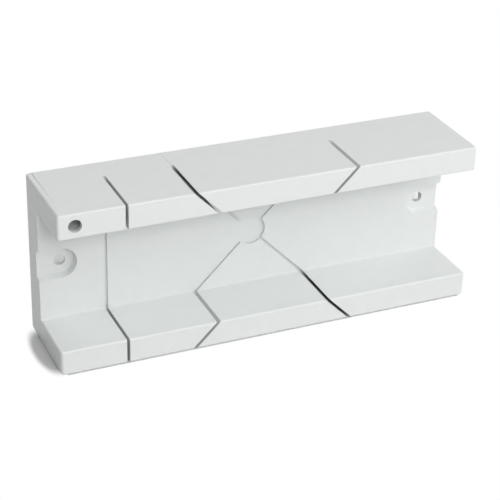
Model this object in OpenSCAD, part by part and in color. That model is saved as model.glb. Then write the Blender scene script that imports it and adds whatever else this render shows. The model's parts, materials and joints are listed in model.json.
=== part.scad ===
// Moulded plastic mitre box: a channel between two thick hollow walls, three saw kerfs
// through both walls, and a screw lug sunk into each end of the floor.
// It is stored as it lies on one wall, with the channel open towards -Y.
// X runs along the box, Y from the walls' free edges to the underside, Z across the walls.
// The origin is at the middle of the face that it lies on.

/* [Channel] */
// Length of the box
box_l = 300; // [240:1:400]
// Height of the box, from its underside to the walls' free edges
box_h = 67; // [50:0.5:90]
// Clear width of the channel between the walls
channel_w = 81; // [60:0.5:120]
// Thickness of each wall over its two skins
wall_t = 17.5; // [14:0.5:26]
// Height of the channel's floor above the underside
floor_rise = 23; // [16:0.5:28]
// Thickness of the moulding's skins
skin = 3.7; // [2.5:0.1:4.5]

/* [Edges] */
// Radius of the outer edges along the box
edge_r = 1.2; // [0.5:0.1:2]
// Radius of the outer edges round each end of the box
end_r = 2; // [0.5:0.1:3]
// Radius of the cove where the floor meets a wall
cove_r = 1.5; // [0.5:0.1:3]

/* [Saw kerfs] */
// Width of a saw kerf
kerf_w = 2; // [1:0.1:3]
// Depth of a saw kerf below the channel's floor
kerf_depth = 1.75; // [0.5:0.05:3]
// Distance of the square kerf from the left end
square_inset = 46.2; // [36:0.1:60]
// Angle of the two mitre kerfs to the square one
mitre_angle = 45; // [35:1:50]
// Place along the box where the mitre kerfs cross
mitre_x = 1; // [-15:0.1:15]

/* [Round recess] */
// Radius of the round recess where the mitre kerfs cross
recess_r = 11; // [6:0.5:16]
// Depth of the round recess below the kerfs that run into it
recess_below = 0.25; // [0.1:0.05:1.5]

/* [Screw lugs] */
// Diameter of the bench screw hole in each lug
lug_hole_d = 8; // [4:0.1:10]
// Distance of a bench screw hole from its end of the box
lug_inset = 15.6; // [12:0.1:22]
// Radius of the mouth of the pocket round a bench screw hole
lug_pocket_r = 10.7; // [8:0.1:13]
// Distance that the pocket's wall leans in, from its mouth to its foot
lug_pocket_lean = 1.2; // [0.2:0.1:2.5]
// Depth of the pocket below the channel's floor
lug_pocket_depth = 5; // [2:0.1:7]
// Thickness of the lug under the pocket
lug_t = 2; // [1.5:0.1:5]

/* [Hanging hole] */
// Diameter of the hanging hole in the upper wall's free edge
hang_d = 9; // [4:0.1:9.5]
// Distance of the hanging hole from the left end
hang_inset = 12; // [10:0.1:30]

/* [Underside] */
// Thickness of the ribs under the floor
rib_t = 2.5; // [1.5:0.1:4]
// Distance that the ribs stand back from the underside
rib_recess = 1; // [0:0.1:3]

/* [Hidden] */
$fn = 64;
white_abs = "#E3E5E6";
// How far a cutter runs past the face that it opens
past = 1;

box_w = channel_w + 2 * wall_t;
mid_z = box_w / 2;
y_edge = -box_h / 2;
y_under = box_h / 2;
y_floor = y_under - floor_rise;
// The walls' blocks stand on the tray where the coves end
y_foot = y_floor - cove_r;
y_kerf = y_floor + kerf_depth;
y_recess = y_kerf + recess_below;
y_pocket = y_floor + lug_pocket_depth;
y_rib = y_under - rib_recess;
core_l = box_l - 2 * skin;
lug_x = box_l / 2 - lug_inset;
// Each kerf's place along the box at mid width, and its angle about Y
KERFS = [
    [square_inset - box_l / 2, 0],
    [mitre_x, -mitre_angle],
    [mitre_x, mitre_angle]
];
// Long enough for a mitre kerf to leave both walls
kerf_reach = 2 * box_w;
// The two ribs along the floor run into the sides of the lug pockets
rib_z = lug_pocket_r + skin / 2;

// Carries a drawing of Y and Z along the box
module along_x(length) {
    rotate([90, 0, 90])
        linear_extrude(length, center = true)
            children();
}

// Carries a drawing of X and Z from one depth to another
module along_y(from, to) {
    translate([0, to, 0])
        rotate([90, 0, 0])
            linear_extrude(to - from)
                children();
}

module both_ends() {
    children();
    mirror([1, 0, 0])
        children();
}

// Repeats a drawing of Y and Z at the other wall
module both_walls() {
    children();
    translate([0, box_w])
        mirror([0, 1])
            children();
}

// Rectangle between two corners, with round corners
module round_rectangle(low, high, r) {
    size = high - low;
    translate(low + [r, 0])
        square(size - [2 * r, 0]);
    translate(low + [0, r])
        square(size - [0, 2 * r]);
    for (x = [low.x + r, high.x - r], y = [low.y + r, high.y - r])
        translate([x, y])
            circle(r);
}

// What lies between a square corner at the origin and the arc that rounds it
module corner_sliver(r) {
    difference() {
        square(r);
        translate([r, r])
            circle(r);
    }
}

// Section of the box: a U with round edges, and a cove at each side of its floor
module channel_section() {
    difference() {
        round_rectangle([y_edge, 0], [y_under, box_w], edge_r);
        translate([y_edge - past, wall_t])
            square([y_floor - y_edge + past, channel_w]);
        both_walls()
            translate([y_edge, wall_t])
                mirror([0, 1])
                    corner_sliver(edge_r);
    }
    both_walls()
        translate([y_floor, wall_t])
            mirror([1, 0])
                corner_sliver(cove_r);
}

// Outside of the box, rounded along all its outer edges
module outside() {
    intersection() {
        along_x(box_l)
            channel_section();
        along_y(y_edge, y_under)
            round_rectangle([-box_l / 2, 0], [box_l / 2, box_w], end_r);
        linear_extrude(box_w)
            round_rectangle([-box_l / 2, y_edge], [box_l / 2, y_under], end_r);
    }
}

// The three kerfs as slabs of one width, down to one depth
module kerf_slabs(width, to_y) {
    for (kerf = KERFS)
        translate([kerf[0], 0, mid_z])
            rotate([0, kerf[1], 0])
                translate([-width / 2, y_edge - past, -kerf_reach / 2])
                    cube([width, to_y - y_edge + past, kerf_reach]);
}

// Round place where the mitre kerfs cross
module crossing(r, to_y) {
    along_y(y_floor - past, to_y)
        translate([mitre_x, mid_z])
            circle(r);
}

// Pocket of the right lug, open at the end of the box, with a wall that leans in
module lug_pocket() {
    lean = lug_pocket_lean / lug_pocket_depth;
    foot_r = lug_pocket_r - lug_pocket_lean;
    mouth_r = lug_pocket_r + lean * past;
    mouth_y = y_floor - past;
    translate([lug_x, y_pocket, mid_z])
        rotate([90, 0, 0])
            cylinder(h = y_pocket - mouth_y, r1 = foot_r, r2 = mouth_r);
    translate([lug_x + (lug_inset + past) / 2, 0, mid_z])
        along_x(lug_inset + past)
            polygon([
                [mouth_y, -mouth_r],
                [y_pocket, -foot_r],
                [y_pocket, foot_r],
                [mouth_y, mouth_r]
            ]);
}

// Backing of the right lug's pocket, as thick as a skin round the pocket's mouth
module lug_backing() {
    r = lug_pocket_r + skin;
    along_y(y_floor - past, y_pocket + lug_t) {
        translate([lug_x, mid_z])
            circle(r);
        translate([lug_x, mid_z - r])
            square([lug_inset + past, 2 * r]);
    }
}

// Ribs under the floor: two along it, and one under each kerf
module floor_ribs() {
    for (side = [-1, 1])
        translate([-core_l / 2, y_floor, mid_z + side * rib_z - rib_t / 2])
            cube([core_l, y_rib - y_floor, rib_t]);
    kerf_slabs(rib_t, y_rib);
}

// Hollow under the floor, open at the underside
module floor_core() {
    difference() {
        translate([-core_l / 2, y_floor + skin, wall_t])
            cube([core_l, floor_rise - skin + past, channel_w]);
        crossing(recess_r + skin, y_recess + skin);
        both_ends()
            lug_backing();
        kerf_slabs(kerf_w + 2 * skin, y_kerf + skin);
        floor_ribs();
    }
}

// Hollow in both walls, open at the underside and closed round each kerf
module wall_core() {
    difference() {
        for (z = [skin, box_w - wall_t + skin])
            translate([-core_l / 2, y_edge + skin, z])
                cube([core_l, box_h - skin + past, wall_t - 2 * skin]);
        kerf_slabs(kerf_w + 2 * skin, y_kerf + skin);
    }
}

// Floor of the channel with its skirt, ribs and lugs, up to the feet of the walls
module floor_tray() {
    color(white_abs)
        difference() {
            intersection() {
                outside();
                translate([-box_l / 2 - past, y_foot, -past])
                    cube([box_l + 2 * past, y_under - y_foot + past, box_w + 2 * past]);
            }
            floor_core();
            wall_core();
            kerf_slabs(kerf_w, y_kerf);
            crossing(recess_r, y_recess);
            both_ends() {
                lug_pocket();
                along_y(y_pocket - past, y_under)
                    translate([lug_x, mid_z])
                        circle(d = lug_hole_d);
            }
        }
}

// Place along the box of a line between two blocks, at a distance from mid width.
// Lines 0 and 4 are the ends of the box, and lines 1 to 3 the kerfs.
function block_line(i, z) =
    i == 0 ? -box_l / 2 - past :
    i == 4 ? box_l / 2 + past :
    KERFS[i - 1][0] + z * tan(KERFS[i - 1][1]);

// Hollow block of a wall between line i and the next, with side 1 for the upper wall
module wall_block(i, side) {
    near = channel_w / 2 - past;
    far = box_w / 2 + past;
    difference() {
        intersection() {
            outside();
            along_y(y_edge - past, y_foot)
                polygon([
                    [block_line(i, near), mid_z + side * near],
                    [block_line(i + 1, near), mid_z + side * near],
                    [block_line(i + 1, far), mid_z + side * far],
                    [block_line(i, far), mid_z + side * far]
                ]);
        }
        wall_core();
        kerf_slabs(kerf_w, y_kerf);
    }
}

module lower_wall_end_block() {
    color(white_abs)
        wall_block(0, -1);
}

module lower_wall_left_block() {
    color(white_abs)
        wall_block(1, -1);
}

module lower_wall_centre_block() {
    color(white_abs)
        wall_block(2, -1);
}

module lower_wall_right_block() {
    color(white_abs)
        wall_block(3, -1);
}

// The block that has the hanging hole in its free edge
module upper_wall_end_block() {
    color(white_abs)
        difference() {
            wall_block(0, 1);
            along_y(y_edge - past, y_edge + skin + past)
                translate([hang_inset - box_l / 2, box_w - wall_t / 2])
                    circle(d = hang_d);
        }
}

module upper_wall_left_block() {
    color(white_abs)
        wall_block(1, 1);
}

module upper_wall_centre_block() {
    color(white_abs)
        wall_block(2, 1);
}

module upper_wall_right_block() {
    color(white_abs)
        wall_block(3, 1);
}

floor_tray();
lower_wall_end_block();
lower_wall_left_block();
lower_wall_centre_block();
lower_wall_right_block();
upper_wall_end_block();
upper_wall_left_block();
upper_wall_centre_block();
upper_wall_right_block();
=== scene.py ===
import json
import math

import bmesh
import bpy
from mathutils import Matrix, Vector


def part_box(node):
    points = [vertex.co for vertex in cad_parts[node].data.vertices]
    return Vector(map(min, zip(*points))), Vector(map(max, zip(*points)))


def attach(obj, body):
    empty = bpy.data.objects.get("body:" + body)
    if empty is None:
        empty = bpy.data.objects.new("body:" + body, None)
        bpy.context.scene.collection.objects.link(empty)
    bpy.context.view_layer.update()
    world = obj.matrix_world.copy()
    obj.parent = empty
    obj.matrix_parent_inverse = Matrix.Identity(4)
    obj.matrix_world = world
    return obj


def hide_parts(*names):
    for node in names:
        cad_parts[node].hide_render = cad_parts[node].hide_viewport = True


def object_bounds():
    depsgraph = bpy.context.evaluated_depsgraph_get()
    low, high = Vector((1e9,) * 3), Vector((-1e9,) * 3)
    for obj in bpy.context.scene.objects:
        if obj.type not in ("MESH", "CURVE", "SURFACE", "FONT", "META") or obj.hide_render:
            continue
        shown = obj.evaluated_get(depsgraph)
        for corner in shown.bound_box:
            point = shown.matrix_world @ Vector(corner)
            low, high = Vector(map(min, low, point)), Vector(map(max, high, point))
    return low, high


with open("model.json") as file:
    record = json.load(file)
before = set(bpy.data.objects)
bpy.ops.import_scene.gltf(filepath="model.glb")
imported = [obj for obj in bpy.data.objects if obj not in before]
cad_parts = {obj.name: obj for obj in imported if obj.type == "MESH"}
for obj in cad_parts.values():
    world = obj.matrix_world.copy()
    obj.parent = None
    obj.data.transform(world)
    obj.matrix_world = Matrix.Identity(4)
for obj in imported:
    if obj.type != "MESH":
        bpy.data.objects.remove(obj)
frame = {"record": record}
CAD_LOW, CAD_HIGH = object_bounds()

bl_info = {
    "name": "Mitre box",
    "version": (1, 0, 0),
    "blender": (4, 5, 0),
    "location": "3D View > Sidebar > Mitre box",
    "description": "Models a moulded plastic mitre box and the stage that it is shown on",
    "category": "Object",
}

MM = 0.001
# How far a cutter runs past the face that it opens
PAST = 1 * MM
# Two places closer than this are the same
TOUCH = 0.02 * MM
# Two ways are the same where the cosine between them is above this
SAME_WAY = 0.99
X, Y, Z = range(3)
# Length of a kerf's cutter or rib in widths of the box, past both its sides
SLAB_REACH = 4
POST_SIDES = 96
EDGE_SEGMENTS = 5
ARRIS_SEGMENTS = 4
COVE_SEGMENTS = 6
# The faces at an arris turn by more than this
ARRIS_TURN = math.radians(40)
# Faces that turn by less than this are shaded as one
SMOOTH_TURN = math.radians(44)
# Widths and depths of the patterns in the plastic
CLOUD_WIDTH = 8 * MM
GRAIN_WIDTH = 0.5 * MM
GRAIN_DEPTH = 0.004 * MM
SINK_WIDTH = 25 * MM
SINK_DEPTH = 0.06 * MM
SCRATCH_WIDTH = 0.4 * MM
SCRATCH_DEPTH = 0.003 * MM
ABS_IOR = 1.54
SENSOR_WIDTH_MM = 36
# Width of the floor in metres, past what any view shows
FLOOR_WIDTH = 8
# The floor is flat, so a height on it only has to be other than 0
ANY_HEIGHT = 1
# The point in the box that the lights face, and their distance from it
LIGHT_AIM = Vector((0, 0, 50 * MM))
LIGHT_DISTANCE = 1600 * MM
# Each light's turn from the open side and its height in degrees, its width in metres and its power in watts
LIGHTS = (
    ("front", 8, 50, 1.6, 9.5),
    ("front_low", -10, 30, 0.5, 7),
    ("right", 58, 17, 2.4, 32),
    ("left", -94, 47, 1.2, 4.5),
    ("back", 170, 12, 1.8, 14.5),
)
# How far the shadow under the box stops short of its ends, and reaches out along its foot
SHADOW_UNDER = -4 * MM, 0.6 * MM
# Middle and half widths of the shadow beside the left end, and the share of them that is full shadow
SHADOW_BESIDE = (CAD_LOW[X], -1.5 * MM, 0), (11.5 * MM, 34.5 * MM, ANY_HEIGHT), 0.6
# The shadow behind the box fans out from a point in front of it, about a line with this slope along the box
SHADOW_FAN = (-394 * MM, -861 * MM, 0), 0.442
# Slopes from that line, and distances from the box, at which this shadow starts to fade and has gone
SHADOW_SIDES = 0.148, 0.168
SHADOW_REACH = 10 * MM, 205 * MM
MOUNTS = {mount["name"]: mount for mount in frame["record"]["mounts"]}

# The kind of each block's left and right end: an end of the box, a square kerf or a mitre kerf
BLOCK_ENDS = {
    "end_block": ("box_end", "square"),
    "left_block": ("square", "mitre"),
    "centre_block": ("mitre", "mitre"),
    "right_block": ("mitre", "box_end"),
}


def linear(hex_colour):
    """Turns an sRGB hex colour into a linear one with alpha, by the curve of the sRGB standard."""
    levels = [int(hex_colour[i:i + 2], 16) / 255 for i in (1, 3, 5)]
    return (*[v / 12.92 if v <= 0.04045 else ((v + 0.055) / 1.055) ** 2.4 for v in levels], 1)


class MitreBoxSizes(bpy.types.PropertyGroup):
    """Sizes of the moulding that the solids don't give by their corners"""

    skin: bpy.props.FloatProperty(
        name="Skin", description="Thickness of the moulding's skins",
        default=3.7 * MM, unit="LENGTH")
    edge_radius: bpy.props.FloatProperty(
        name="Edge radius", description="Radius of the edges along the box and at the channel's ends",
        default=1.2 * MM, unit="LENGTH")
    end_radius: bpy.props.FloatProperty(
        name="End radius", description="Radius of the outer edges round each end of the box",
        default=2 * MM, unit="LENGTH")
    arris_radius: bpy.props.FloatProperty(
        name="Arris radius", description="Radius of the arrises at kerfs, pockets and holes",
        default=0.2 * MM, unit="LENGTH")
    floor_rise: bpy.props.FloatProperty(
        name="Floor rise", description="Height of the channel's floor above the underside",
        default=23 * MM, unit="LENGTH")
    cove_radius: bpy.props.FloatProperty(
        name="Cove radius", description="Radius of the cove where the floor meets a wall",
        default=0.5 * MM, unit="LENGTH")
    kerf_depth: bpy.props.FloatProperty(
        name="Kerf depth", description="Depth of the saw kerfs below the channel's floor",
        default=1.75 * MM, unit="LENGTH")
    mitre_angle: bpy.props.FloatProperty(
        name="Mitre angle", description="Angle of the two mitre kerfs to the square one",
        default=math.radians(45), subtype="ANGLE")
    recess_radius: bpy.props.FloatProperty(
        name="Recess radius", description="Radius of the round recess where the kerfs cross",
        default=11 * MM, unit="LENGTH")
    recess_depth: bpy.props.FloatProperty(
        name="Recess depth", description="Depth of the round recess below the channel's floor",
        default=2 * MM, unit="LENGTH")
    pocket_radius: bpy.props.FloatProperty(
        name="Pocket radius", description="Radius of the mouth of the pocket round a bench screw hole",
        default=10.7 * MM, unit="LENGTH")
    pocket_lean: bpy.props.FloatProperty(
        name="Pocket lean", description="Distance that a pocket's wall leans in, from mouth to foot",
        default=1.2 * MM, unit="LENGTH")
    pocket_depth: bpy.props.FloatProperty(
        name="Pocket depth", description="Depth of a pocket below the channel's floor",
        default=5 * MM, unit="LENGTH")
    lug_thickness: bpy.props.FloatProperty(
        name="Lug thickness", description="Thickness of the lug under a pocket",
        default=2 * MM, unit="LENGTH")
    rib_thickness: bpy.props.FloatProperty(
        name="Rib thickness", description="Thickness of the ribs under the floor",
        default=2.5 * MM, unit="LENGTH")
    rib_recess: bpy.props.FloatProperty(
        name="Rib recess", description="Distance that the ribs stand back from the underside",
        default=1 * MM, unit="LENGTH")
    step_width: bpy.props.FloatProperty(
        name="Mould step width", description="Width of the low strip at the upper wall's left end",
        default=4.2 * MM, unit="LENGTH")
    step_depth: bpy.props.FloatProperty(
        name="Mould step depth", description="Depth of that strip where it meets the underside",
        default=0.45 * MM, unit="LENGTH")
    step_start: bpy.props.FloatProperty(
        name="Mould step start", description="Distance from the free edge to the strip's shallow end",
        default=9.5 * MM, unit="LENGTH")
    line_width: bpy.props.FloatProperty(
        name="Mould line width", description="Width of the fine line from a mitre kerf to the underside",
        default=0.5 * MM, unit="LENGTH")


class MitreBoxColours(bpy.types.PropertyGroup):
    """Colours of the plastic, of the shade painted into its kerfs, and of the paper under it"""

    plastic: bpy.props.FloatVectorProperty(
        name="Plastic", description="Colour of the white plastic",
        default=linear("#E4E7E6"), size=4, min=0, max=1, subtype="COLOR")
    plastic_cloud: bpy.props.FloatVectorProperty(
        name="Plastic cloud", description="Colour of the faint clouds in the plastic",
        default=linear("#DFE2E1"), size=4, min=0, max=1, subtype="COLOR")
    # Painted shade: the kerf colour is a greyer white that darkens the kerf sides, where shade falls
    kerf: bpy.props.FloatVectorProperty(
        name="Kerf", description="Colour of the plastic in the saw kerfs",
        default=linear("#CBCDCD"), size=4, min=0, max=1, subtype="COLOR")
    paper: bpy.props.FloatVectorProperty(
        name="Paper", description="Colour of the paper that the box lies on",
        default=linear("#D4D4D4"), size=4, min=0, max=1, subtype="COLOR")


class MitreBoxCamera(bpy.types.PropertyGroup):
    """Camera of the photograph"""

    aim: bpy.props.FloatVectorProperty(
        name="Aim", description="Point that the camera looks at",
        default=(-4.7 * MM, -2.7 * MM, 49.9 * MM), subtype="XYZ", unit="LENGTH")
    azimuth: bpy.props.FloatProperty(
        name="Azimuth", description="Turn of the camera round the box, from its open side",
        default=math.radians(-24.36), subtype="ANGLE")
    elevation: bpy.props.FloatProperty(
        name="Elevation", description="Angle of the camera above the floor",
        default=math.radians(28.25), subtype="ANGLE")
    roll: bpy.props.FloatProperty(
        name="Roll", description="Tilt of the camera about its own line of sight",
        default=math.radians(1.73), subtype="ANGLE")
    distance: bpy.props.FloatProperty(
        name="Distance", description="Distance of the camera from its aim",
        default=1069.8 * MM, unit="LENGTH")
    lens: bpy.props.FloatProperty(
        name="Lens", description="Focal length in millimetres on a 36 mm wide sensor",
        default=112.7, unit="CAMERA")


def deselect():
    if bpy.context.mode != "OBJECT":
        bpy.ops.object.mode_set(mode="OBJECT")
    bpy.ops.object.select_all(action="DESELECT")


def activate(piece):
    deselect()
    piece.select_set(True)
    bpy.context.view_layer.objects.active = piece


def place_in_mesh(name):
    """Names the primitive that was just added and puts its place into its mesh."""
    piece = bpy.context.object
    piece.name = name
    piece.data.name = name
    bpy.ops.object.transform_apply(location=True, rotation=True, scale=True)
    return piece


def add_box(name, corner, opposite):
    """Adds a box between two opposite corners."""
    deselect()
    low = Vector(map(min, corner, opposite))
    high = Vector(map(max, corner, opposite))
    bpy.ops.mesh.primitive_cube_add(size=1, location=(low + high) / 2, scale=high - low)
    return place_in_mesh(name)


def add_post(name, x, z, radius, y_from, y_to, end_radius=None):
    """Adds a round post along Y, which can narrow to another radius."""
    deselect()
    bpy.ops.mesh.primitive_cone_add(
        vertices=POST_SIDES, radius1=end_radius or radius, radius2=radius, depth=y_to - y_from,
        location=(x, (y_from + y_to) / 2, z), rotation=(math.pi / 2, 0, 0))
    return place_in_mesh(name)


def add_slab(name, x, z, angle, width, reach, y_from, y_to):
    """Adds a slab across the box, turned about Y at its middle."""
    deselect()
    bpy.ops.mesh.primitive_cube_add(
        size=1, location=(x, (y_from + y_to) / 2, z), rotation=(0, angle, 0),
        scale=(width, y_to - y_from, reach))
    return place_in_mesh(name)


def join(name, pieces):
    """Joins pieces into the first one."""
    deselect()
    for piece in pieces:
        piece.select_set(True)
    bpy.context.view_layer.objects.active = pieces[0]
    bpy.ops.object.join()
    pieces[0].name = name
    return pieces[0]


def combine(piece, tool, operation):
    """Cuts a tool from a piece, or adds it, and removes the tool."""
    modifier = piece.modifiers.new(operation.lower(), "BOOLEAN")
    modifier.operation = operation
    modifier.solver = "EXACT"
    modifier.use_self = True
    modifier.object = tool
    activate(piece)
    bpy.ops.object.modifier_apply(modifier=modifier.name)
    bpy.data.objects.remove(tool)


def edit(piece, select_mode):
    activate(piece)
    bpy.ops.object.mode_set(mode="EDIT")
    bpy.ops.mesh.select_mode(type=select_mode)


def select(piece, wanted):
    """Selects the edges or faces that a test accepts, in edit mode."""
    bpy.ops.mesh.select_all(action="DESELECT")
    mesh = bmesh.from_edit_mesh(piece.data)
    mesh.normal_update()
    by_face = bpy.context.tool_settings.mesh_select_mode[2]
    for part in mesh.faces if by_face else mesh.edges:
        if wanted(part):
            part.select_set(True)
    bmesh.update_edit_mesh(piece.data)


def merge_doubles():
    """Merges what lies at one place in the piece that is edited, and leaves edit mode."""
    bpy.ops.mesh.select_all(action="SELECT")
    bpy.ops.mesh.remove_doubles(threshold=TOUCH)
    bpy.ops.object.mode_set(mode="OBJECT")


def round_edges(piece, radius, segments, wanted):
    """Rounds the edges that a test accepts."""
    edit(piece, "EDGE")
    select(piece, wanted)
    bpy.ops.mesh.bevel(offset=radius, segments=segments, affect="EDGES", clamp_overlap=True)
    merge_doubles()


def round_outside(piece, radius_of):
    """Rounds each edge with the radius that a function gives for it, or leaves it at 0."""
    edit(piece, "EDGE")
    mesh = bmesh.from_edit_mesh(piece.data)
    radii = {edge.index: radius_of(edge) for edge in mesh.edges}
    largest = max(radii.values())
    weight = mesh.edges.layers.float.new("bevel_weight_edge")
    for edge in mesh.edges:
        edge[weight] = radii[edge.index] / largest
    bmesh.update_edit_mesh(piece.data)
    bpy.ops.object.mode_set(mode="OBJECT")
    modifier = piece.modifiers.new("round", "BEVEL")
    modifier.limit_method = "WEIGHT"
    modifier.width = largest
    modifier.segments = EDGE_SEGMENTS
    bpy.ops.object.modifier_apply(modifier=modifier.name)
    edit(piece, "EDGE")
    merge_doubles()


def at(value, place):
    return abs(value - place) < TOUCH


def lies(edge, axis, place):
    """Whether both ends of an edge have one coordinate."""
    return all(at(vert.co[axis], place) for vert in edge.verts)


def is_sharp(edge):
    """Whether an edge is an arris that stands out."""
    if len(edge.link_faces) != 2:
        return False
    return edge.calc_face_angle_signed() > ARRIS_TURN


def add_node(tree, kind, inputs=(), **settings):
    """Adds a node with its settings, and sets or links each input that is given by name."""
    node = tree.nodes.new(kind)
    for name, value in settings.items():
        setattr(node, name, value)
    for name, value in dict(inputs).items():
        if isinstance(value, bpy.types.NodeSocket):
            tree.links.new(value, node.inputs[name])
        else:
            node.inputs[name].default_value = value
    return node


def shows_background(tree):
    """Gives 1 to a ray from the camera, off a gloss or through glass, and 0 to one that carries light."""
    path = add_node(tree, "ShaderNodeLightPath")
    shown = path.outputs["Is Camera Ray"]
    for kind in ("Is Glossy Ray", "Is Transmission Ray"):
        either = add_node(tree, "ShaderNodeMath", {0: shown, 1: path.outputs[kind]}, operation="MAXIMUM")
        shown = either.outputs[0]
    return shown


def new_material(name):
    material = bpy.data.materials.new(name)
    material.use_nodes = True
    material.node_tree.nodes.clear()
    return material


def moulded_abs():
    """White ABS as it leaves the mould: a satin skin with a fine spark-eroded grain that breaks
    up its highlights, slow and shallow sinks, and a faint cloudiness in its colour."""
    name = "moulded_white_abs"
    if name in bpy.data.materials:
        return bpy.data.materials[name]
    material = new_material(name)
    tree = material.node_tree
    colours = bpy.context.scene.mitre_box_colours
    place = add_node(tree, "ShaderNodeTexCoord").outputs["Object"]
    clouds = add_node(tree, "ShaderNodeTexNoise", {"Vector": place, "Scale": 1 / CLOUD_WIDTH, "Detail": 2})
    # A mix takes its two colours at its inputs 6 and 7, and gives their mix at its output 2
    colour = add_node(tree, "ShaderNodeMix", {
        "Factor": clouds.outputs["Fac"], 6: colours.plastic_cloud, 7: colours.plastic}, data_type="RGBA")
    # Real grain is finer than a pixel, so it is drawn as coarse as it needs to show
    grain = add_node(tree, "ShaderNodeTexNoise", {"Vector": place, "Scale": 1 / GRAIN_WIDTH, "Detail": 1})
    grained = add_node(tree, "ShaderNodeBump", {
        "Height": grain.outputs["Fac"], "Strength": 1, "Distance": GRAIN_DEPTH})
    sinks = add_node(tree, "ShaderNodeTexNoise", {"Vector": place, "Scale": 1 / SINK_WIDTH, "Detail": 0})
    sunk = add_node(tree, "ShaderNodeBump", {
        "Height": sinks.outputs["Fac"], "Strength": 1, "Distance": SINK_DEPTH,
        "Normal": grained.outputs["Normal"]})
    shader = add_node(tree, "ShaderNodeBsdfPrincipled", {
        "Base Color": colour.outputs[2], "Roughness": 0.4, "IOR": ABS_IOR,
        "Normal": sunk.outputs["Normal"]})
    add_node(tree, "ShaderNodeOutputMaterial", {"Surface": shader.outputs["BSDF"]})
    return material


def rubbed_shaded_abs():
    """White ABS in a saw kerf: rubbed matt by the blade, with fine scratches along its strokes,
    and greyed with painted shade, so that the kerfs stay dark lines."""
    name = "rubbed_shaded_white_abs"
    if name in bpy.data.materials:
        return bpy.data.materials[name]
    material = new_material(name)
    tree = material.node_tree
    colours = bpy.context.scene.mitre_box_colours
    place = add_node(tree, "ShaderNodeTexCoord").outputs["Object"]
    # A scratch stays at one depth in the kerf all along a stroke
    depth = add_node(tree, "ShaderNodeVectorMath", {0: place, 1: (0, 1, 0)}, operation="MULTIPLY")
    scratches = add_node(tree, "ShaderNodeTexNoise", {
        "Vector": depth.outputs[0], "Scale": 1 / SCRATCH_WIDTH, "Detail": 1})
    scratched = add_node(tree, "ShaderNodeBump", {
        "Height": scratches.outputs["Fac"], "Strength": 1, "Distance": SCRATCH_DEPTH})
    # The grey base colour is painted shade in the kerfs; the roughness and the scratches are the rub
    shader = add_node(tree, "ShaderNodeBsdfPrincipled", {
        "Base Color": colours.kerf, "Roughness": 0.7, "IOR": ABS_IOR,
        "Normal": scratched.outputs["Normal"]})
    add_node(tree, "ShaderNodeOutputMaterial", {"Surface": shader.outputs["BSDF"]})
    return material


def finish_piece(piece, node):
    """Smooths a piece, gives it the plastic, and puts it in the place of its solid."""
    activate(piece)
    bpy.ops.object.shade_smooth_by_angle(angle=SMOOTH_TURN)
    # Large faces set the normals, so that they look flat beside their rounded edges
    modifier = piece.modifiers.new("weighted", "WEIGHTED_NORMAL")
    modifier.keep_sharp = True
    modifier.weight = 100
    bpy.ops.object.modifier_apply(modifier=modifier.name)
    piece.data.materials.clear()
    piece.data.materials.append(moulded_abs())
    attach(piece, "root")
    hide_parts(node)


def bisect(piece, point, normal):
    """Cuts off what lies beyond a plane and closes the cut."""
    edit(piece, "FACE")
    bpy.ops.mesh.select_all(action="SELECT")
    bpy.ops.mesh.bisect(plane_co=point, plane_no=normal, use_fill=True, clear_outer=True)
    bpy.ops.object.mode_set(mode="OBJECT")


def across(node):
    """Places across the box of a wall's inner and outer face, from one of its blocks."""
    low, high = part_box(node)
    return (low.z, high.z) if node.startswith("upper") else (high.z, low.z)


def block_prism(name, wall, block, inset, y_from, y_to):
    """Adds a wall block's plan, drawn in by an inset, from one depth to another."""
    low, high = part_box(wall + "_" + block)
    z_in, z_out = across(wall + "_" + block)
    angle = bpy.context.scene.mitre_box.mitre_angle
    prism = add_box(
        name, (low.x + inset, y_from, low.z + inset), (high.x - inset, y_to, high.z - inset))
    for kind, x, away in zip(BLOCK_ENDS[block], (low.x, high.x), (-1, 1)):
        if kind != "mitre":
            continue
        # The centre block is longest at the wall's outer face, and its neighbours at the inner one
        z = z_out if block == "centre_block" else z_in
        lean = 1 if block == "centre_block" else -1
        outward = math.copysign(1, z_out - z_in)
        normal = Vector((away * math.cos(angle), 0, -lean * outward * math.sin(angle)))
        bisect(prism, Vector((x, 0, z)) - normal * inset, normal)
    return prism


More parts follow.
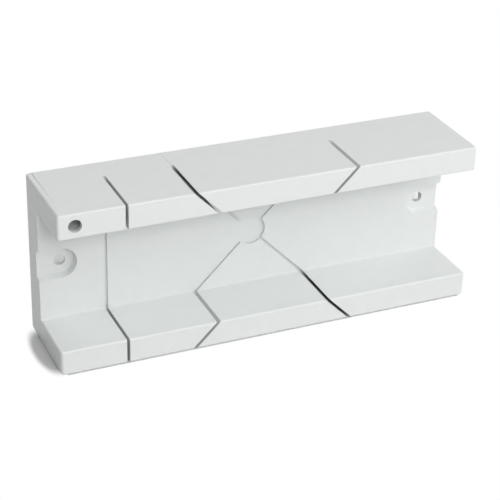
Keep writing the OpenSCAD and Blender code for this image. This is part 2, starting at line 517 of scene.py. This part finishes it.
class MITREBOX_OT_wall_blocks(bpy.types.Operator):
    """Model the eight hollow blocks of the two walls"""
    bl_idname = "mitre_box.wall_blocks"
    bl_label = "Wall blocks"

    def execute(self, context):
        sizes = context.scene.mitre_box
        for wall in ("lower_wall", "upper_wall"):
            for block, ends in BLOCK_ENDS.items():
                self.model(wall, block, ends, sizes)
        return {"FINISHED"}

    def model(self, wall, block, ends, sizes):
        node = wall + "_" + block
        low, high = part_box(node)
        z_in, z_out = across(node)
        piece = block_prism(node.replace("_wall", ""), wall, block, 0, low.y, high.y)
        # Hollow it from its foot, behind a skin on every side
        edit(piece, "FACE")
        select(piece, lambda face: face.normal.y > SAME_WAY)
        bpy.ops.mesh.inset(thickness=sizes.skin, use_even_offset=True)
        bpy.ops.mesh.extrude_region_move(
            TRANSFORM_OT_translate={"value": (0, low.y + sizes.skin - high.y, 0)})
        bpy.ops.object.mode_set(mode="OBJECT")
        box_ends = [x for kind, x in zip(ends, (low.x, high.x)) if kind == "box_end"]

        def outer_radius(edge):
            if lies(edge, Y, high.y):
                return 0
            if any(lies(edge, X, x) for x in box_ends):
                return sizes.edge_radius if lies(edge, Z, z_in) else sizes.end_radius
            along = lies(edge, Y, low.y) and (lies(edge, Z, z_in) or lies(edge, Z, z_out))
            return sizes.edge_radius if along else 0

        round_outside(piece, outer_radius)
        hole = MOUNTS["hanging_hole"]
        x, _, z = hole["pos_m"]
        if low.x < x < high.x and low.z < z < high.z:
            radius = hole["dims"]["r_mm"] * MM
            drill = add_post("hole", x, z, radius, low.y - PAST, low.y + sizes.skin + PAST)
            combine(piece, drill, "DIFFERENCE")
            cut_mould_step(piece, sizes)
        round_edges(
            piece, sizes.arris_radius, ARRIS_SEGMENTS,
            lambda edge: is_sharp(edge) and not lies(edge, Y, high.y))
        finish_piece(piece, node)
        self.shade_and_rub_kerf_sides(piece, sizes)

    def shade_and_rub_kerf_sides(self, piece, sizes):
        """Gives the block's sides that face a saw kerf their own rubbed finish, greyed with painted shade.
        """
        half = kerf_width() / 2
        kerfs = [
            (Vector((x, 0, CAD_HIGH[Z] / 2)), Vector((math.cos(angle), 0, -math.sin(angle))))
            for x, angle in kerf_lines(sizes)]

        def in_kerf(face):
            middle = face.calc_center_median()
            return any(
                abs(face.normal.dot(way)) > SAME_WAY and at(abs((middle - point).dot(way)), half)
                for point, way in kerfs)

        piece.data.materials.append(rubbed_shaded_abs())
        edit(piece, "FACE")
        select(piece, in_kerf)
        piece.active_material_index = len(piece.data.materials) - 1
        bpy.ops.object.material_slot_assign()
        bpy.ops.object.mode_set(mode="OBJECT")


class MITREBOX_OT_floor_tray(bpy.types.Operator):
    """Model the channel's floor with its skirt, ribs, recess and screw lugs"""
    bl_idname = "mitre_box.floor_tray"
    bl_label = "Floor tray"

    def execute(self, context):
        sizes = context.scene.mitre_box
        low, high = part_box("floor_tray")
        z_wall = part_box("lower_wall_end_block")[1].z
        y_floor = high.y - sizes.floor_rise
        piece = self.shell(sizes, low, high, y_floor, z_wall)
        combine(piece, self.cores(sizes, low, high, y_floor, z_wall), "DIFFERENCE")
        combine(piece, self.ribs(sizes, low, high, y_floor, z_wall), "UNION")
        combine(piece, self.corners(sizes, low, high, y_floor, z_wall), "DIFFERENCE")
        combine(piece, self.cuts(sizes, low, high, y_floor), "DIFFERENCE")
        y_pocket = y_floor + sizes.pocket_depth
        round_edges(piece, sizes.arris_radius, ARRIS_SEGMENTS, lambda edge: is_sharp(edge) and any(
            lies(edge, Y, y) for y in (y_floor, y_pocket)))
        cut_mould_step(piece, sizes)
        x = crossing_x() - (high.z - low.z) / 2 * math.tan(sizes.mitre_angle)
        cut_mould_line(piece, sizes, x, y_floor + sizes.kerf_depth)
        finish_piece(piece, "floor_tray")
        return {"FINISHED"}

    def shell(self, sizes, low, high, y_floor, z_wall):
        """Models a slab with a raised foot and a cove along each wall."""
        piece = add_box("floor_tray_shell", (low.x, y_floor, low.z), high)
        edit(piece, "FACE")
        for z in (z_wall, high.z - z_wall):
            bpy.ops.mesh.select_all(action="SELECT")
            bpy.ops.mesh.bisect(plane_co=(0, 0, z), plane_no=(0, 0, 1))
        select(piece, lambda face: face.normal.y < -SAME_WAY and not (
            z_wall < face.calc_center_median().z < high.z - z_wall))
        bpy.ops.mesh.extrude_region_move(TRANSFORM_OT_translate={"value": (0, low.y - y_floor, 0)})
        bpy.ops.object.mode_set(mode="OBJECT")
        coves = (z_wall, high.z - z_wall)
        round_edges(piece, sizes.cove_radius, COVE_SEGMENTS, lambda edge: lies(edge, Y, y_floor) and any(
            lies(edge, Z, z) for z in coves))
        ends, sides = (low.x, high.x), (low.z, high.z)

        def outer_radius(edge):
            at_end = any(lies(edge, X, x) for x in ends)
            at_side = any(lies(edge, Z, z) for z in sides)
            at_back = lies(edge, Y, high.y)
            if at_end:
                return sizes.end_radius if at_side or at_back else 0
            return sizes.edge_radius if at_side and at_back else 0

        round_outside(piece, outer_radius)
        return piece

    def cores(self, sizes, low, high, y_floor, z_wall):
        """Adds the hollows under the floor and in the walls' feet."""
        skin = sizes.skin
        y_band = y_floor + sizes.kerf_depth + skin
        y_open = high.y + PAST
        tools = [add_box(
            "core", (low.x + skin, y_floor + skin, z_wall), (high.x - skin, y_open, high.z - z_wall))]
        for z in (low.z + skin, high.z - z_wall + skin):
            tools.append(add_box(
                "core", (low.x + skin, y_band, z), (high.x - skin, y_open, z + z_wall - 2 * skin)))
        for wall in ("lower_wall", "upper_wall"):
            for block in BLOCK_ENDS:
                tools.append(block_prism("core", wall, block, skin, low.y - PAST, y_band + PAST))
        return join("cores", tools)

    def ribs(self, sizes, low, high, y_floor, z_wall):
        """Adds the ribs and backings, which start inside the skins that they stand on."""
        skin = sizes.skin
        y_root = y_floor + skin / 2
        y_rib = high.y - sizes.rib_recess
        y_band = y_floor + sizes.kerf_depth + skin
        mid_z = (low.z + high.z) / 2
        tools = []
        for x, angle in kerf_lines(sizes):
            for width, y_to in ((sizes.rib_thickness, y_rib), (kerf_width() + 2 * skin, y_band)):
                slab = add_slab("rib", x, mid_z, angle, width, SLAB_REACH * high.z, y_root, y_to)
                bisect(slab, (0, 0, z_wall - skin / 2), (0, 0, -1))
                bisect(slab, (0, 0, high.z - z_wall + skin / 2), (0, 0, 1))
                tools.append(slab)
        for side in (-1, 1):
            z = mid_z + side * (sizes.pocket_radius + skin / 2)
            half = sizes.rib_thickness / 2
            tools.append(add_box(
                "rib", (low.x + skin / 2, y_root, z - half), (high.x - skin / 2, y_rib, z + half)))
        y_to = y_floor + sizes.recess_depth + skin
        tools.append(add_post("backing", crossing_x(), mid_z, sizes.recess_radius + skin, y_root, y_to))
        y_to = y_floor + sizes.pocket_depth + sizes.lug_thickness
        for x, x_end in lug_places(low, high):
            radius = sizes.pocket_radius + skin
            x_end -= math.copysign(skin / 2, x_end)
            tools.append(add_post("backing", x, mid_z, radius, y_root, y_to))
            tools.append(add_box("backing", (x, y_root, mid_z - radius), (x_end, y_to, mid_z + radius)))
        return join("ribs", tools)

    def corners(self, sizes, low, high, y_floor, z_wall):
        """Adds what the rounding of the walls' inner end edges takes off their feet, down to the coves."""
        radius = sizes.edge_radius
        y_from = low.y - PAST
        y_to = y_floor - sizes.cove_radius
        tools = []
        for x, x_away in ((low.x, -1), (high.x, 1)):
            for z, z_away in ((z_wall, 1), (high.z - z_wall, -1)):
                mid_x = x - x_away * radius
                mid_z = z - z_away * radius
                outside = (x + x_away * PAST, y_from, z + z_away * PAST)
                corner = add_box("corner", outside, (mid_x, y_to, mid_z))
                post = add_post("round", mid_x, mid_z, radius, y_from - PAST, y_to + PAST)
                combine(corner, post, "DIFFERENCE")
                tools.append(corner)
        return join("corners", tools)

    def cuts(self, sizes, low, high, y_floor):
        """Adds the kerfs, the recess, the pockets and the screw holes as cutters."""
        mid_z = (low.z + high.z) / 2
        y_from = low.y - PAST
        tools = []
        for x, angle in kerf_lines(sizes):
            tools.append(add_slab(
                "kerf", x, mid_z, angle, kerf_width(), SLAB_REACH * high.z,
                y_from, y_floor + sizes.kerf_depth))
        tools.append(add_post(
            "recess", crossing_x(), mid_z, sizes.recess_radius, y_from, y_floor + sizes.recess_depth))
        y_pocket = y_floor + sizes.pocket_depth
        # The pocket's wall leans in from its mouth at the floor, and the cutter's from further out
        foot = sizes.pocket_radius - sizes.pocket_lean
        mouth = foot + sizes.pocket_lean * (y_pocket - y_from) / sizes.pocket_depth
        for x, x_end in lug_places(low, high):
            x_end += math.copysign(PAST, x_end)
            tools.append(add_post("pocket", x, mid_z, mouth, y_from, y_pocket, foot))
            slot = add_box("pocket", (x, y_from, mid_z - mouth), (x_end, y_pocket, mid_z + mouth))
            edit(slot, "FACE")
            select(slot, lambda face: face.normal.y > SAME_WAY)
            bpy.ops.transform.resize(value=(1, 1, foot / mouth))
            bpy.ops.object.mode_set(mode="OBJECT")
            tools.append(slot)
            tools.append(add_post(
                "hole", x, mid_z, MOUNTS["bench_screws"]["dims"]["hole_r_mm"] * MM, y_from, high.y))
        return join("cuts", tools)


def cut_mould_step(piece, sizes):
    """Lowers the strip at the upper wall's left end, which sinks towards the underside."""
    low, high = Vector(CAD_LOW), Vector(CAD_HIGH)
    start = Vector((low.x, low.y + sizes.step_start, high.z))
    run = high.y - start.y
    turn = Matrix.Rotation(-math.atan2(sizes.step_depth, run), 3, "X")
    # The cutter's middle is at the strip's start, so it is twice as long and wide as the strip
    size = Vector((2 * sizes.step_width, 2 * run, 2 * sizes.step_width))
    deselect()
    bpy.ops.mesh.primitive_cube_add(
        size=1, location=start + turn @ Vector((0, 0, size.z / 2)), rotation=turn.to_euler(), scale=size)
    combine(piece, place_in_mesh("step"), "DIFFERENCE")


def cut_mould_line(piece, sizes, x, y_from):
    """Cuts a fine V from a kerf's end to the underside, in the upper wall's outer face."""
    high = Vector(CAD_HIGH)
    side = sizes.line_width / math.sqrt(2)
    run = high.y - y_from
    deselect()
    bpy.ops.mesh.primitive_cube_add(
        size=1, location=(x, y_from + run / 2, high.z), rotation=(0, math.pi / 4, 0),
        scale=(side, run + 2 * PAST, side))
    combine(piece, place_in_mesh("line"), "DIFFERENCE")


def kerf_width():
    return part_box("lower_wall_left_block")[0].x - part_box("lower_wall_end_block")[1].x


def crossing_x():
    low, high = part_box("lower_wall_centre_block")
    return (low.x + high.x) / 2


def kerf_lines(sizes):
    """Gives each kerf's place along the box at mid width, and its angle about Y."""
    square_x = (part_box("lower_wall_left_block")[0].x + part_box("lower_wall_end_block")[1].x) / 2
    return (square_x, 0), (crossing_x(), -sizes.mitre_angle), (crossing_x(), sizes.mitre_angle)


def lug_places(low, high):
    """Gives each screw hole's place along the box with the end that it is at."""
    half = MOUNTS["bench_screws"]["dims"]["spacing_x_mm"] * MM / 2
    return (-half, low.x), (half, high.x)


def direction(azimuth, elevation):
    """Gives the way from the box to a place round it, with azimuth 0 in front of its open side."""
    return Vector((
        math.sin(azimuth) * math.cos(elevation),
        -math.cos(azimuth) * math.cos(elevation),
        math.sin(elevation)))


def add_area(name, azimuth, elevation, size, power):
    """Adds a square white light that faces the middle of the box."""
    light = bpy.data.lights.new(name, "AREA")
    light.shape = "SQUARE"
    light.size = size
    light.energy = power
    lamp = bpy.data.objects.new(name, light)
    bpy.context.scene.collection.objects.link(lamp)
    way = direction(azimuth, elevation)
    lamp.location = LIGHT_AIM + way * LIGHT_DISTANCE
    # Gloss shows the white room and not the lamp, so that no face clips to white at a flat angle
    lamp.visible_glossy = False
    lamp.rotation_euler = way.to_track_quat("Z", "Y").to_euler()


class MITREBOX_OT_stage(bpy.types.Operator):
    """Build the white stage, its light and the camera"""
    bl_idname = "mitre_box.stage"
    bl_label = "Stage"

    def execute(self, context):
        self.add_floor(context.scene.mitre_box_colours)
        self.add_light(context.scene)
        self.add_camera(context.scene, context.scene.mitre_box_camera)
        context.scene.view_settings.view_transform = "Standard"
        return {"FINISHED"}

    def add_floor(self, colours):
        deselect()
        bpy.ops.mesh.primitive_plane_add(size=FLOOR_WIDTH)
        floor = place_in_mesh("floor")
        material = new_material("white_paper")
        tree = material.node_tree
        place = add_node(tree, "ShaderNodeTexCoord").outputs["Object"]
        away = self.clear_of_box(tree, place)
        for clear in (self.clear_of_side(tree, place), self.clear_of_back(tree, place)):
            away = add_node(tree, "ShaderNodeMath", {0: away, 1: clear}, operation="MINIMUM").outputs[0]
        white = add_node(tree, "ShaderNodeMath", {0: shows_background(tree), 1: away}, operation="MULTIPLY")
        # Matt paper in the shadows, and plain white further off
        paper = add_node(tree, "ShaderNodeBsdfPrincipled", {
            "Base Color": colours.paper, "Roughness": 0.9, "Specular IOR Level": 0})
        glow = add_node(tree, "ShaderNodeEmission", {"Color": (1, 1, 1, 1), "Strength": 1})
        mix = add_node(tree, "ShaderNodeMixShader", {
            0: white.outputs[0], 1: paper.outputs[0], 2: glow.outputs[0]})
        add_node(tree, "ShaderNodeOutputMaterial", {"Surface": mix.outputs[0]})
        floor.data.materials.append(material)

    def clear_of_box(self, tree, place):
        """Gives 0 on the floor under the box, and 1 round it."""
        half_widths = (CAD_HIGH[X] + SHADOW_UNDER[X], CAD_HIGH[Y] + SHADOW_UNDER[Y], ANY_HEIGHT)
        share = add_node(tree, "ShaderNodeVectorMath", {0: place, 1: half_widths}, operation="DIVIDE")
        size = add_node(tree, "ShaderNodeVectorMath", {0: share.outputs[0]}, operation="ABSOLUTE")
        parts = add_node(tree, "ShaderNodeSeparateXYZ", {0: size.outputs[0]})
        largest = add_node(
            tree, "ShaderNodeMath", {0: parts.outputs["X"], 1: parts.outputs["Y"]}, operation="MAXIMUM")
        outside = add_node(tree, "ShaderNodeMath", {0: largest.outputs[0], 1: 1}, operation="GREATER_THAN")
        return outside.outputs[0]

    def clear_of_side(self, tree, place):
        """Gives 0 in the shadow beside the left end, an ellipse, and rises to 1 at its rim."""
        middle, half_widths, core = SHADOW_BESIDE
        offset = add_node(tree, "ShaderNodeVectorMath", {0: place, 1: middle}, operation="SUBTRACT")
        share = add_node(
            tree, "ShaderNodeVectorMath", {0: offset.outputs[0], 1: half_widths}, operation="DIVIDE")
        reach = add_node(tree, "ShaderNodeVectorMath", {0: share.outputs[0]}, operation="LENGTH")
        rise = add_node(tree, "ShaderNodeMapRange", {
            "Value": reach.outputs["Value"], "From Min": core, "From Max": 1},
            interpolation_type="SMOOTHSTEP")
        return rise.outputs["Result"]

    def clear_of_back(self, tree, place):
        """Gives 0 in the shadow that falls behind the box, and rises to 1 at its sides and far end."""
        start, middle_slope = SHADOW_FAN
        offset = add_node(tree, "ShaderNodeVectorMath", {0: place, 1: start}, operation="SUBTRACT")
        parts = add_node(tree, "ShaderNodeSeparateXYZ", {0: offset.outputs[0]}).outputs
        slope = add_node(tree, "ShaderNodeMath", {0: parts["X"], 1: parts["Y"]}, operation="DIVIDE")
        turn = add_node(
            tree, "ShaderNodeMath", {0: slope.outputs[0], 1: middle_slope}, operation="SUBTRACT")
        aside = add_node(tree, "ShaderNodeMath", {0: turn.outputs[0]}, operation="ABSOLUTE")
        to_back = CAD_HIGH[Y] - start[Y]
        reach = add_node(tree, "ShaderNodeMath", {0: parts["Y"], 1: to_back}, operation="SUBTRACT")
        in_front = add_node(tree, "ShaderNodeMath", {0: reach.outputs[0], 1: 0}, operation="LESS_THAN")
        clear = in_front.outputs[0]
        for value, (full, gone) in ((aside.outputs[0], SHADOW_SIDES), (reach.outputs[0], SHADOW_REACH)):
            rise = add_node(tree, "ShaderNodeMapRange", {
                "Value": value, "From Min": full, "From Max": gone}, interpolation_type="SMOOTHSTEP")
            either = add_node(
                tree, "ShaderNodeMath", {0: clear, 1: rise.outputs["Result"]}, operation="MAXIMUM")
            clear = either.outputs[0]
        return clear

    def add_light(self, scene):
        world = bpy.data.worlds.new("studio")
        world.use_nodes = True
        tree = world.node_tree
        tree.nodes.clear()
        # White to look at and in the gloss, and no other light on the box
        white = add_node(tree, "ShaderNodeBackground", {
            "Color": (1, 1, 1, 1), "Strength": shows_background(tree)})
        add_node(tree, "ShaderNodeOutputWorld", {"Surface": white.outputs[0]})
        scene.world = world
        for name, turn, height, width, power in LIGHTS:
            add_area(name, math.radians(turn), math.radians(height), width, power)

    def add_camera(self, scene, view):
        data = bpy.data.cameras.new("camera")
        camera = bpy.data.objects.new("camera", data)
        scene.collection.objects.link(camera)
        data.sensor_width = SENSOR_WIDTH_MM
        data.lens = view.lens
        back = direction(view.azimuth, view.elevation)
        camera.location = Vector(view.aim) + back * view.distance
        turn = back.to_track_quat("Z", "Y").to_matrix() @ Matrix.Rotation(view.roll, 3, "Z")
        camera.rotation_euler = turn.to_euler()
        scene.camera = camera


class MITREBOX_PT_panel(bpy.types.Panel):
    """Sizes, colours, camera and steps of the mitre box"""
    bl_idname = "MITREBOX_PT_panel"
    bl_label = "Mitre box"
    bl_space_type = "VIEW_3D"
    bl_region_type = "UI"
    bl_category = "Mitre box"

    def draw(self, context):
        scene = context.scene
        for group in (scene.mitre_box, scene.mitre_box_colours, scene.mitre_box_camera):
            box = self.layout.box()
            for name in group.__annotations__:
                box.prop(group, name)
        for operator in OPERATORS:
            self.layout.operator(operator.bl_idname)


OPERATORS = (MITREBOX_OT_floor_tray, MITREBOX_OT_wall_blocks, MITREBOX_OT_stage)
CLASSES = (MitreBoxSizes, MitreBoxColours, MitreBoxCamera, *OPERATORS, MITREBOX_PT_panel)


def register():
    for cls in CLASSES:
        bpy.utils.register_class(cls)
    bpy.types.Scene.mitre_box = bpy.props.PointerProperty(type=MitreBoxSizes)
    bpy.types.Scene.mitre_box_colours = bpy.props.PointerProperty(type=MitreBoxColours)
    bpy.types.Scene.mitre_box_camera = bpy.props.PointerProperty(type=MitreBoxCamera)


def unregister():
    del bpy.types.Scene.mitre_box_camera
    del bpy.types.Scene.mitre_box_colours
    del bpy.types.Scene.mitre_box
    for cls in reversed(CLASSES):
        bpy.utils.unregister_class(cls)


def main():
    register()
    bpy.ops.mitre_box.floor_tray()
    bpy.ops.mitre_box.wall_blocks()
    bpy.ops.mitre_box.stage()


if __name__ == "__main__":
    main()
